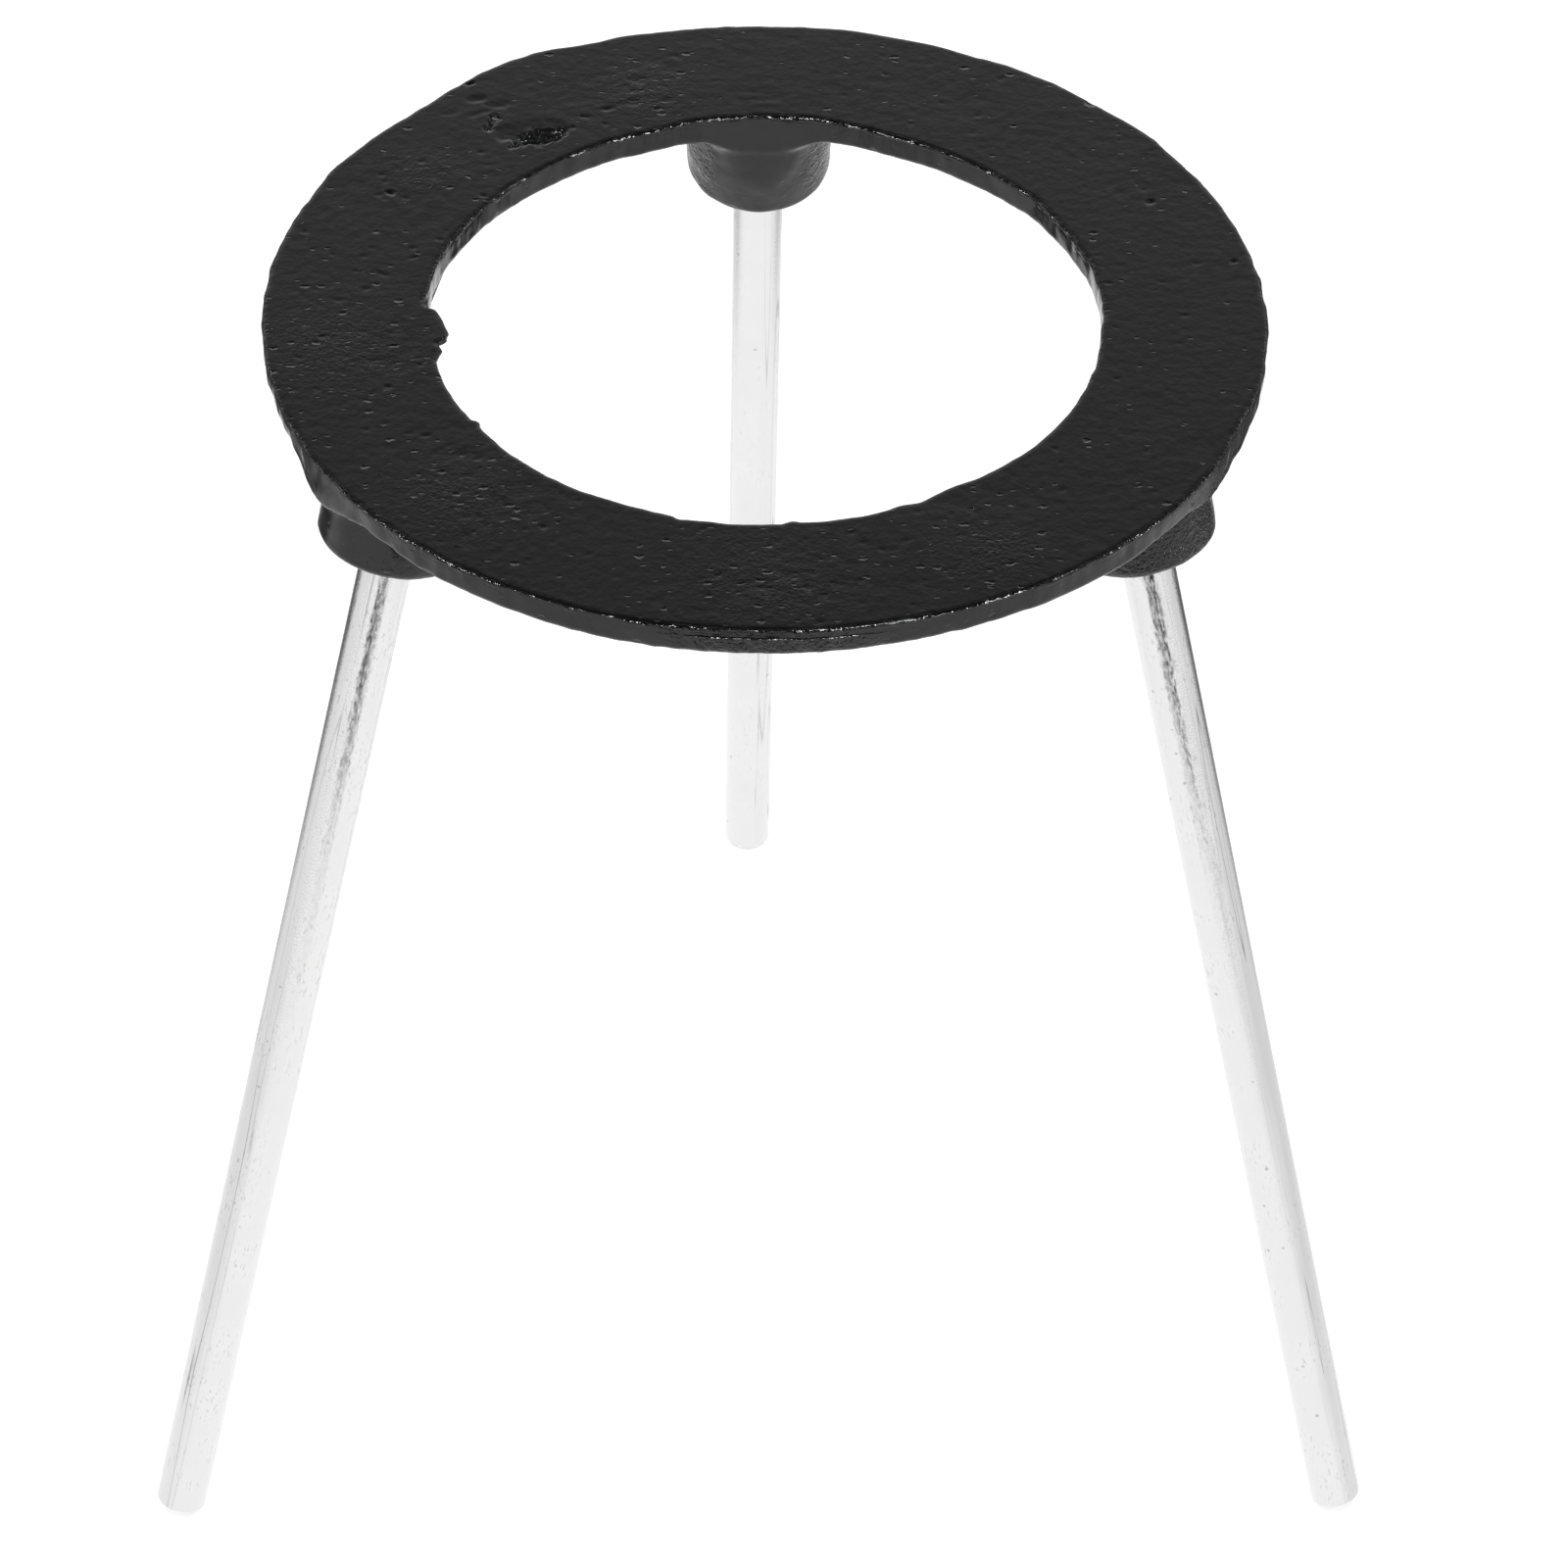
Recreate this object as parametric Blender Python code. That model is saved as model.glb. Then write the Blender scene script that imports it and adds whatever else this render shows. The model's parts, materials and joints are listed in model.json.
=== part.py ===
"""Laboratory tripod stand: a cast-iron ring on three screwed-in steel legs.

Metres, +Z up. The origin is on the ring's axis, on the bench that the feet stand on.
Each leg turns about its own centre line, so its object's origin lies on that line,
at the mouth of its hole in the ring casting.
"""

from math import atan, cos, pi, radians, sin, sqrt, tan

import bmesh
import bpy
from mathutils import Euler, Matrix, Vector

# Driving dimensions
STAND_HEIGHT = 0.202
RING_OUTER_RADIUS = 0.075
RING_INNER_RADIUS = 0.0508
RING_THICKNESS = 0.0043
RING_EDGE_RADIUS = 0.0009
ROD_RADIUS = 0.004
SPLAY = radians(13.75)
LEG_CIRCLE_RADIUS = 0.060       # where the legs' centre lines cross the ring's top plane
LEG_NAMES = ("leg_back", "leg_front_left", "leg_front_right")
FIRST_LEG_AZIMUTH = radians(90)

# Bosses under the ring, square to the legs
BOSS_REACH = 0.0187             # along the leg, from the ring's top plane to the boss's end
BOSS_ROOT_RADIUS = 0.0119
BOSS_END_RADIUS = 0.0111
BOSS_END_ROUNDING = 0.0014
BOSS_SHOULDER = 0.0022          # how much narrower the boss starts, inside the ring
BOSS_SETBACK = 0.0003           # the bosses' inner sides, cut back behind the ring's inner wall

# Blind tapped holes and the threads in them
THREAD_PITCH = 0.00125
THREAD_DEPTH = 0.00077
THREAD_LENGTH = 0.011
LEG_CHAMFER = 0.0005
RUNNING_GAP = 0.0003
HOLE_DEPTH = 0.0120
DRILL_POINT_ANGLE = radians(118)

# Mesh fineness
RING_SEGMENTS = 96
BOSS_SEGMENTS = 48
HOLE_SEGMENTS = 32
ROD_SEGMENTS = 24
ARC_STEPS = 3
BOSS_ROWS = 5
ROWS_PER_PITCH = 6
SHARP_ANGLE = radians(35)


def clear_scene():
    for old in list(bpy.data.objects):
        bpy.data.objects.remove(old, do_unlink=True)


def make_material(name, color, roughness, metallic):
    material = bpy.data.materials.new(name)
    material.use_nodes = True
    shader = material.node_tree.nodes["Principled BSDF"]
    shader.inputs["Base Color"].default_value = (*color, 1.0)
    shader.inputs["Roughness"].default_value = roughness
    shader.inputs["Metallic"].default_value = metallic
    return material


def arc(centre, radius, start, end, steps):
    """Points (r, z) on an arc about centre, angles measured from +r towards +z."""
    points = []
    for step in range(steps + 1):
        angle = start + (end - start) * step / steps
        points.append((centre[0] + radius * cos(angle), centre[1] + radius * sin(angle)))
    return points


def add_object(name, bm, material):
    bmesh.ops.recalc_face_normals(bm, faces=bm.faces)
    mesh = bpy.data.meshes.new(name)
    bm.to_mesh(mesh)
    bm.free()
    mesh.shade_smooth()
    mesh.set_sharp_from_angle(angle=SHARP_ANGLE)
    if material is not None:
        mesh.materials.append(material)
    obj = bpy.data.objects.new(name, mesh)
    bpy.context.scene.collection.objects.link(obj)
    return obj


def skin_rows(bm, rows, closed_loop=False):
    """Join rows of equally many vertices into a tube, or a ring if closed_loop."""
    pairs = list(zip(rows, rows[1:]))
    if closed_loop:
        pairs.append((rows[-1], rows[0]))
    for lower, upper in pairs:
        count = len(lower)
        for i in range(count):
            j = (i + 1) % count
            bm.faces.new((lower[i], lower[j], upper[j], upper[i]))


def cap(bm, row, centre):
    """Close the end of a tube with a fan of triangles."""
    middle = bm.verts.new(centre)
    for i, vertex in enumerate(row):
        bm.faces.new((vertex, row[(i + 1) % len(row)], middle))


def circle_row(bm, radius, z, segments, place=Matrix.Identity(4)):
    row = []
    for i in range(segments):
        angle = 2 * pi * i / segments
        row.append(bm.verts.new(place @ Vector((radius * cos(angle), radius * sin(angle), z))))
    return row


def leg_azimuth(index):
    return FIRST_LEG_AZIMUTH + index * 2 * pi / len(LEG_NAMES)


def leg_rotation(index, tilt=SPLAY):
    """Local +Z runs up the leg, towards the ring."""
    return Euler((0.0, -tilt, leg_azimuth(index)))


def point_on_leg(index, along):
    """The point this far down the leg's centre line from the ring's top plane."""
    crossing = Vector((LEG_CIRCLE_RADIUS, 0.0, STAND_HEIGHT))
    down = Vector((sin(SPLAY), 0.0, -cos(SPLAY)))
    return Matrix.Rotation(leg_azimuth(index), 3, "Z") @ (crossing + down * along)


def placed(index, along, tilt):
    return Matrix.LocRotScale(point_on_leg(index, along), leg_rotation(index, tilt), None)


def ring_outline():
    """Closed section (r, z) of the flat ring, with its four edges rounded."""
    edge = RING_EDGE_RADIUS
    top = STAND_HEIGHT - edge
    bottom = STAND_HEIGHT - RING_THICKNESS + edge
    outer = RING_OUTER_RADIUS - edge
    inner = RING_INNER_RADIUS + edge
    outline = []
    outline += arc((outer, bottom), edge, -pi / 2, 0.0, ARC_STEPS)
    outline += arc((outer, top), edge, 0.0, pi / 2, ARC_STEPS)
    outline += arc((inner, top), edge, pi / 2, pi, ARC_STEPS)
    outline += arc((inner, bottom), edge, pi, 3 * pi / 2, ARC_STEPS)
    return outline


def make_ring(material):
    bm = bmesh.new()
    rows = [circle_row(bm, r, z, RING_SEGMENTS) for r, z in ring_outline()]
    skin_rows(bm, rows, closed_loop=True)
    return add_object("ring_casting", bm, material)


def boss_rows():
    """(distance along the leg, radius, tilt) of each round section, from the root down.

    The root starts level and narrow inside the ring, swells over a rounded shoulder to
    the ring's underside, then tapers with its sections turning square to the leg.
    """
    half = RING_THICKNESS / 2
    rows = []
    for step in range(ARC_STEPS + 1):
        turn = pi / 2 * step / ARC_STEPS
        depth = half + half * (1 - cos(turn))
        radius = BOSS_ROOT_RADIUS - BOSS_SHOULDER * (1 - sin(turn))
        rows.append((depth / cos(SPLAY), radius, 0.0))
    start = RING_THICKNESS / cos(SPLAY)
    end = BOSS_REACH - BOSS_END_ROUNDING
    for step in range(1, BOSS_ROWS):
        part = step / BOSS_ROWS
        radius = BOSS_ROOT_RADIUS + (BOSS_END_RADIUS - BOSS_ROOT_RADIUS) * part
        rows.append((start + (end - start) * part, radius, SPLAY * part))
    centre = BOSS_END_RADIUS - BOSS_END_ROUNDING
    for radius, drop in arc((centre, 0.0), BOSS_END_ROUNDING, 0.0, pi / 2, ARC_STEPS):
        rows.append((end + drop, radius, SPLAY))
    return rows


def make_boss(index):
    bm = bmesh.new()
    rows = []
    for along, radius, tilt in boss_rows():
        rows.append(circle_row(bm, radius, 0.0, BOSS_SEGMENTS, placed(index, along, tilt)))
    skin_rows(bm, rows)
    cap(bm, rows[0], point_on_leg(index, boss_rows()[0][0]))
    cap(bm, rows[-1], point_on_leg(index, BOSS_REACH))
    return add_object(f"boss_shape_{index + 1}", bm, None)


def make_core_cutter():
    """The mould's core: a round column through the ring's opening, which cuts the bosses' inner sides."""
    radius = RING_INNER_RADIUS + BOSS_SETBACK
    low = STAND_HEIGHT - 2 * BOSS_REACH
    high = STAND_HEIGHT + RING_THICKNESS
    bm = bmesh.new()
    rows = [circle_row(bm, radius, z, RING_SEGMENTS) for z in (low, high)]
    skin_rows(bm, rows)
    cap(bm, rows[0], (0.0, 0.0, low))
    cap(bm, rows[1], (0.0, 0.0, high))
    return add_object("core_cutter", bm, None)


def make_hole_cutter(index):
    """A drill's shape: a straight hole from below the boss, with a pointed end."""
    radius = ROD_RADIUS + RUNNING_GAP
    overrun = 0.002
    point_length = radius / tan(DRILL_POINT_ANGLE / 2)
    place = placed(index, BOSS_REACH, SPLAY)
    bm = bmesh.new()
    rows = [
        circle_row(bm, radius, -overrun, HOLE_SEGMENTS, place),
        circle_row(bm, radius, HOLE_DEPTH, HOLE_SEGMENTS, place),
    ]
    skin_rows(bm, rows)
    cap(bm, rows[0], place @ Vector((0.0, 0.0, -overrun)))
    cap(bm, rows[1], place @ Vector((0.0, 0.0, HOLE_DEPTH + point_length)))
    return add_object(f"hole_cutter_{index + 1}", bm, None)


def apply_tool(target, tool, operation):
    modifier = target.modifiers.new(tool.name, "BOOLEAN")
    modifier.operation = operation
    modifier.solver = "EXACT"
    modifier.object = tool
    tool.hide_render = True
    tool.display_type = "WIRE"


def leg_length_below_mouth():
    """From the boss's end to the foot's end face, whose inner edge meets the bench."""
    foot_centre_height = (ROD_RADIUS - LEG_CHAMFER) * sin(SPLAY)
    whole = (STAND_HEIGHT - foot_centre_height) / cos(SPLAY)
    return whole - BOSS_REACH


def thread_radius(angle, z):
    """A 60 degree thread with flat crests and roots, right-handed."""
    turn = (z / THREAD_PITCH - angle / (2 * pi)) % 1.0
    height = 1.5 - abs(turn - 0.5) * 4
    return ROD_RADIUS - THREAD_DEPTH * (1 - min(max(height, 0.0), 1.0))


def thread_row(bm, z):
    row = []
    for i in range(ROD_SEGMENTS):
        angle = 2 * pi * i / ROD_SEGMENTS
        radius = thread_radius(angle, z)
        row.append(bm.verts.new((radius * cos(angle), radius * sin(angle), z)))
    return row


def make_leg(index, material):
    """A round rod: square-cut chamfered foot, plain shank, threaded upper end."""
    foot = -leg_length_below_mouth()
    tip = HOLE_DEPTH - RUNNING_GAP
    core = ROD_RADIUS - THREAD_DEPTH
    thread_top = tip - LEG_CHAMFER
    thread_bottom = tip - THREAD_LENGTH
    row_count = round((thread_top - thread_bottom) / THREAD_PITCH * ROWS_PER_PITCH)
    bm = bmesh.new()
    rows = [
        circle_row(bm, ROD_RADIUS - LEG_CHAMFER, foot, ROD_SEGMENTS),
        circle_row(bm, ROD_RADIUS, foot + LEG_CHAMFER, ROD_SEGMENTS),
        circle_row(bm, ROD_RADIUS, thread_bottom - THREAD_DEPTH, ROD_SEGMENTS),
    ]
    for step in range(row_count + 1):
        z = thread_bottom + (thread_top - thread_bottom) * step / row_count
        rows.append(thread_row(bm, z))
    rows.append(circle_row(bm, core - LEG_CHAMFER, tip, ROD_SEGMENTS))
    skin_rows(bm, rows)
    cap(bm, rows[0], (0.0, 0.0, foot))
    cap(bm, rows[-1], (0.0, 0.0, tip))
    leg = add_object(LEG_NAMES[index], bm, material)
    leg.location = point_on_leg(index, BOSS_REACH)
    leg.rotation_euler = leg_rotation(index)
    return leg


def main():
    clear_scene()
    black_enamel = make_material("black_enamel", (0.022, 0.022, 0.023), 0.32, 0.0)
    bright_zinc = make_material("bright_zinc", (0.78, 0.78, 0.79), 0.28, 1.0)
    ring = make_ring(black_enamel)
    legs = range(len(LEG_NAMES))
    core = make_core_cutter()
    for index in legs:
        boss = make_boss(index)
        apply_tool(boss, core, "DIFFERENCE")
        apply_tool(ring, boss, "UNION")
    for index in legs:
        apply_tool(ring, make_hole_cutter(index), "DIFFERENCE")
    for index in legs:
        make_leg(index, bright_zinc)


main()
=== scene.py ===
import itertools
import json
from math import asin, cos, degrees, pi, radians, sin

import bpy
import numpy as np
from mathutils import Matrix, Vector


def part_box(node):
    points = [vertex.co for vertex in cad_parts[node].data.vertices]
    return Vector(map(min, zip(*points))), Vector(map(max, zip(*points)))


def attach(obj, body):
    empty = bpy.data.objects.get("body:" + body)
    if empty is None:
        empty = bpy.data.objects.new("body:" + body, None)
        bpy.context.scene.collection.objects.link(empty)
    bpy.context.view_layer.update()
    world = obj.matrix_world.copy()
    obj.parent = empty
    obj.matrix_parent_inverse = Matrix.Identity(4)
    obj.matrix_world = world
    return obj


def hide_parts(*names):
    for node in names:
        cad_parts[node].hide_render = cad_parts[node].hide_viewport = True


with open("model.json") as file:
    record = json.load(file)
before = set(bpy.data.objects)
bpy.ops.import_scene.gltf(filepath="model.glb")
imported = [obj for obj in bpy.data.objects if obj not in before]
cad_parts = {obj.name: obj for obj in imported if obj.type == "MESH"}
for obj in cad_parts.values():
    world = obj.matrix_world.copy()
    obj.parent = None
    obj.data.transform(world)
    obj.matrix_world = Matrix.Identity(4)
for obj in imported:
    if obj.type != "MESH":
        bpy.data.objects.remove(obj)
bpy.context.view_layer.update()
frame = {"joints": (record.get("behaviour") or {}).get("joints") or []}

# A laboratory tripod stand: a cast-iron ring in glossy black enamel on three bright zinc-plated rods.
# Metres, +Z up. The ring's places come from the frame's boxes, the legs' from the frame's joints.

MM = 0.001
detail = 1.0

# The ring and its bosses, as in the CAD
ring_low, ring_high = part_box("ring_casting")
TOP = ring_high.z
OUTER_RADIUS = ring_high.x
INNER_RADIUS = 50.8 * MM
THICKNESS = 4.3 * MM
EDGE_ROUNDING = 0.85 * MM       # a little tighter than the CAD's 0.9
BOSS_START = 3.0 * MM           # along a leg's line from the ring's top plane
BOSS_END = 18.7 * MM
BOSS_ROOT_RADIUS = 11.9 * MM
BOSS_END_RADIUS = 11.1 * MM
BOSS_ROUNDING = 1.4 * MM
HOLE_RADIUS = 4.3 * MM
HOLE_DEPTH = 12.0 * MM
DRILL_HALF_ANGLE = radians(59)

# The legs, as in the CAD
ROD_RADIUS = 4.0 * MM
ROD_CHAMFER = 0.5 * MM
ROD_TIP = 11.7 * MM             # above the boss's mouth
THREAD_LENGTH = 11.0 * MM
THREAD_PITCH = 1.25 * MM
THREAD_DEPTH = 0.77 * MM

# Where the ring runs into its bosses
FILLET = 2.6 * MM
CORE_SETBACK = 0.3 * MM         # a boss's inner side lies this far behind the ring's inner wall
CORE_FILLET = 1.2 * MM          # between that side and the boss's round sides
FLARE = 0.25                    # how far the walls stand out for each millimetre of a pad's depth


# ---------------------------------------------------------------- the legs' lines, from the joints

def leg_frames():
    """For each leg: its name, its CAD node, its body, its mouth point and the direction up the leg."""
    legs = []
    for joint in frame["joints"]:
        body = joint["child"]
        side = body.removesuffix("_leg")
        up = -Vector(joint["axis"]).normalized()
        legs.append((body, f"leg_{side}", Vector(joint["pos_m"]), up))
    return legs


def leg_matrix(mouth, up):
    """Local +Z up the leg, local +X level, the origin at the boss's mouth."""
    side = Vector((-up.y, up.x, 0.0)).normalized()
    front = up.cross(side)
    matrix = Matrix((side, front, up)).transposed().to_4x4()
    matrix.translation = mouth
    return matrix


# ---------------------------------------------------------------- small number tools

def smooth_step(value, low, high):
    share = np.clip((value - low) / (high - low), 0.0, 1.0)
    return share * share * (3.0 - 2.0 * share)


def hump(value, centre, half_width):
    """1 at the centre, falling smoothly to 0 at half a width to either side."""
    away = np.clip(np.abs(value - centre) / half_width, 0.0, 1.0)
    return 0.5 + 0.5 * np.cos(pi * away)


def turn_from(azimuth, centre):
    """Degrees from the centre azimuth, -180 to 180."""
    return (azimuth - centre + 180.0) % 360.0 - 180.0


def rounded_corner(a, b, rounding):
    """Distance to the inside corner region a < 0, b < 0 with its edge rounded."""
    a, b = a + rounding, b + rounding
    outside = np.hypot(np.maximum(a, 0.0), np.maximum(b, 0.0))
    return outside + np.minimum(np.maximum(a, b), 0.0) - rounding


def smooth_union(a, b, reach):
    blend = np.clip(0.5 + 0.5 * (b - a) / reach, 0.0, 1.0)
    return b + (a - b) * blend - reach * blend * (1.0 - blend)


LATTICE_SIDE = 96


def noise(points, cell, seed):
    """Smooth random heights, -1 to 1, from a cubic lattice of that cell size."""
    lattice = np.random.default_rng(seed).uniform(-1.0, 1.0, (LATTICE_SIDE,) * 3)
    place = np.atleast_2d(points) / cell
    corner = np.floor(place).astype(np.int64)
    share = place - corner
    share = share * share * (3.0 - 2.0 * share)
    total = np.zeros(len(place))
    for step in itertools.product((0, 1), repeat=3):
        weight = np.ones(len(place))
        for axis in range(3):
            weight *= share[:, axis] if step[axis] else 1.0 - share[:, axis]
        index = (corner + step) % LATTICE_SIDE
        total += weight * lattice[index[:, 0], index[:, 1], index[:, 2]]
    return total


# ---------------------------------------------------------------- the ring casting

# Bulges of the rims: azimuth and half width in degrees, height in metres outward from the ring's axis
OUTER_BULGES = (
    (120.5, 12, 1.45 * MM), (136.5, 7, -0.45 * MM), (151, 7, 0.40 * MM), (171, 17, 0.20 * MM),
    (47, 4, -0.25 * MM), (63, 6, -0.25 * MM), (81, 10, 0.20 * MM), (38, 6, 0.15 * MM),
    (108, 4, 0.20 * MM), (195, 22, -0.30 * MM), (255, 18, 0.12 * MM), (270, 62, -0.73 * MM),
    (338, 10, -0.60 * MM), (192, 8, 0.20 * MM), (100, 60, 0.16 * MM),
)
OUTER_EXCESS = 0.55 * MM        # all the way round
INNER_BULGES = (
    (301.5, 6, -0.80 * MM), (292.5, 3.5, -0.45 * MM), (255, 1.6, 0.35 * MM), (273.5, 2, -0.40 * MM),
    (264, 5, 0.20 * MM), (314, 4, -0.15 * MM), (211.7, 1.3, -0.45 * MM), (50, 32, -0.75 * MM),
    (123, 34, -0.85 * MM), (246, 16, -0.30 * MM), (290, 42, -0.40 * MM), (168, 18, 0.45 * MM),
    (8, 22, 0.25 * MM), (37, 18, 0.35 * MM), (68, 16, -0.50 * MM), (110, 10, -0.30 * MM),
    (308, 6, -0.35 * MM),
)
INNER_EXCESS = -0.32 * MM       # the same for the hole's rim
# Thicker places of the ring, at and beside its bosses: azimuth and half width in degrees, depth in metres
PADS = (
    (90, 17, 1.5 * MM), (208, 11, 2.4 * MM), (335, 12, 1.4 * MM), (264, 34, 0.35 * MM),
    (190, 15, -0.7 * MM), (352, 15, -0.7 * MM), (321, 8, -0.5 * MM), (221, 8, -0.4 * MM),
)
# Where the outer wall leans in towards its foot: azimuth and half width in degrees, how far in metres
UNDERCUTS = ((204, 9, 0.7 * MM), (334, 8, 0.4 * MM))
# Flash left on the inner rim: azimuth in degrees, and how far the rim stands in there
FLASH = (
    (172.5, 0.0), (174.6, -0.2), (176.4, -0.6), (178.2, 0.0), (178.9, 1.4), (181.4, 2.2), (185.4, 3.1),
    (187.6, 2.3), (188.4, 1.1), (190.3, 1.35), (191.6, 0.7), (193.0, 0.1), (194.3, 0.0),
)
FLASH_THICKNESS = 1.3 * MM


def rim_shift(azimuth, bulges):
    total = np.zeros_like(azimuth)
    for centre, half_width, height in bulges:
        total += height * hump(turn_from(azimuth, centre), 0.0, half_width)
    return total


def flash_shift(azimuth, depth):
    """How far the thin flash moves the inner rim towards the ring's axis."""
    places, heights = zip(*FLASH)
    shift = np.interp(azimuth % 360.0, places, heights) * MM
    return shift * smooth_step(depth, FLASH_THICKNESS + 0.5 * MM, FLASH_THICKNESS - 0.5 * MM)


# How much longer and wider each cast boss is than drawn
BOSS_EXCESS = {
    "back_leg": (0.6 * MM, 0.2 * MM),
    "front_left_leg": (-0.2 * MM, 0.1 * MM),
    "front_right_leg": (-0.2 * MM, 0.0),
}


def boss_field(points, mouth, up, longer, wider):
    """Distance to a tapered boss with a rounded end, and to the blind hole up its middle."""
    offset = points - np.array(mouth)
    height = offset @ np.array(up)
    along = BOSS_END - height
    uneven = 0.12 * MM * noise(points, 4.5 * MM, 13) + 0.05 * MM * noise(points, 1.8 * MM, 14)
    across = np.linalg.norm(offset - height[:, None] * np.array(up), axis=1)
    share = np.clip(along / BOSS_END, 0.0, 1.0)
    radius = BOSS_ROOT_RADIUS + (BOSS_END_RADIUS - BOSS_ROOT_RADIUS) * share
    body = rounded_corner(across - radius - wider - uneven, along - BOSS_END - longer, BOSS_ROUNDING)
    body = np.maximum(body, BOSS_START - along)
    cone = (height - HOLE_DEPTH) * sin(DRILL_HALF_ANGLE) + across * cos(DRILL_HALF_ANGLE)
    cone -= HOLE_RADIUS * cos(DRILL_HALF_ANGLE)
    hole = np.maximum(across - HOLE_RADIUS, cone)
    return body, hole


def ring_body_field(points):
    """Distance to the flat ring, and to the round opening that the mould's core leaves."""
    radius = np.hypot(points[:, 0], points[:, 1])
    azimuth = np.degrees(np.arctan2(points[:, 1], points[:, 0]))
    depth = TOP - points[:, 2]
    pad = rim_shift(azimuth, PADS)
    rim = points * (1.0, 1.0, 0.5)
    ripple = 0.16 * MM * noise(rim, 4.2 * MM, 11) + 0.13 * MM * noise(rim, 1.7 * MM, 12)
    flare = (FLARE * pad - rim_shift(azimuth, UNDERCUTS)) * smooth_step(depth, 0.5 * MM, THICKNESS)
    outward = OUTER_EXCESS + rim_shift(azimuth, OUTER_BULGES) + ripple + flare
    inward = INNER_EXCESS + rim_shift(azimuth, INNER_BULGES) + ripple - flash_shift(azimuth, depth)
    outward *= smooth_step(radius, 66 * MM, 73.5 * MM)
    inward *= smooth_step(radius, 57 * MM, 51.5 * MM)
    radius = radius - outward - inward
    core = INNER_RADIUS - radius
    wall = np.maximum(radius - OUTER_RADIUS, core)
    face = np.maximum(-depth, depth - THICKNESS - pad)
    return rounded_corner(wall, face, EDGE_ROUNDING), core


BOSS_REACH = 34 * MM            # beyond this from its mouth a boss changes nothing


def casting_field(points, legs):
    """Distance to the casting's surface, below 0 inside the iron."""
    total, core = ring_body_field(points)
    above = np.maximum(core, points[:, 2] - TOP)
    for name, _, mouth, up in legs:
        near = np.flatnonzero(np.linalg.norm(points - np.array(mouth), axis=1) < BOSS_REACH)
        body, hole = boss_field(points[near], mouth, up, *BOSS_EXCESS[name])
        body = -smooth_union(-body, -core[near] - CORE_SETBACK, CORE_FILLET)
        joined = np.maximum(smooth_union(total[near], body, FILLET), above[near])
        total[near] = np.maximum(joined, -hole)
    return np.maximum(total, above)


def slope_of(field, points, values, step=0.02 * MM):
    """The field's gradient by one-sided differences."""
    slope = np.empty_like(points)
    for axis in range(3):
        moved = points.copy()
        moved[:, axis] += step
        slope[:, axis] = (field(moved) - values) / step
    return slope


def surface_net(values, radii, turns, heights):
    """Quads on the surface values = 0 of a cylindrical grid that closes on itself in angle.

    Each grid cell that the surface crosses gets one vertex, at the mean of its edges' crossings.
    """
    counts = np.array(values.shape)
    crossings = []
    faces = []
    for axis in range(3):
        far = np.roll(values, -1, axis=axis)
        cross = (values < 0) != (far < 0)
        if axis != 1:
            cross[tuple(slice(-1, None) if a == axis else slice(None) for a in range(3))] = False
        edge = np.argwhere(cross)
        near_value, far_value = values[cross], far[cross]
        share = near_value / (near_value - far_value)
        next_axis, last_axis = (axis + 1) % 3, (axis + 2) % 3
        ring_of_cells = []
        for step_next, step_last in ((0, 0), (-1, 0), (-1, -1), (0, -1)):
            cell = edge.copy()
            cell[:, next_axis] += step_next
            cell[:, last_axis] += step_last
            inside_cell = (edge - cell).astype(float)
            inside_cell[:, axis] += share
            cell[:, 1] %= counts[1]
            key = (cell[:, 0] * counts[1] + cell[:, 1]) * counts[2] + cell[:, 2]
            crossings.append((key, inside_cell))
            ring_of_cells.append(key)
        quad = np.stack(ring_of_cells, axis=1)
        backwards = near_value > 0
        quad[backwards] = quad[backwards][:, ::-1]
        faces.append(quad)
    keys = np.concatenate([key for key, _ in crossings])
    places = np.concatenate([place for _, place in crossings])
    cells, slot = np.unique(keys, return_inverse=True)
    share_count = np.bincount(slot)
    mean = np.stack([np.bincount(slot, places[:, a]) / share_count for a in range(3)], axis=1)
    cell_index = np.stack(np.unravel_index(cells, counts), axis=1)
    grid_place = cell_index + mean
    radius = np.interp(grid_place[:, 0], np.arange(len(radii)), radii)
    turn = np.interp(grid_place[:, 1], np.arange(len(turns) + 1), np.append(turns, turns[0] + 2 * pi))
    height = np.interp(grid_place[:, 2], np.arange(len(heights)), heights)
    points = np.stack([radius * np.cos(turn), radius * np.sin(turn), height], axis=1)
    quads = np.searchsorted(cells, np.concatenate(faces))
    return points, quads


def graded(low, high, spacing_at):
    """Grid values from low to high, with the spacing that the function gives at each."""
    values = [low]
    while values[-1] < high:
        values.append(values[-1] + spacing_at(values[-1]) / detail)
    return np.array(values)


FINE_AZIMUTH = 126              # degrees: the finest grid is at the rough patch


def casting_grid():
    def turn_spacing(turn):
        rough = hump(turn_from(degrees(turn), FINE_AZIMUTH), 0.0, 14)
        return radians(0.375 - 0.12 * float(rough))

    def height_spacing(height):
        return 0.40 * MM if height > TOP - 6 * MM else 0.52 * MM

    radii = graded(47.0 * MM, 77.6 * MM, lambda radius: 0.43 * MM)
    turns = graded(0.0, 2 * pi, turn_spacing)[:-1]
    turns = turns * (2 * pi / (turns[-1] + (turns[-1] - turns[-2])))
    heights = graded(ring_low.z - 1.0 * MM, TOP + 0.8 * MM, height_spacing)
    return radii, turns, heights


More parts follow.
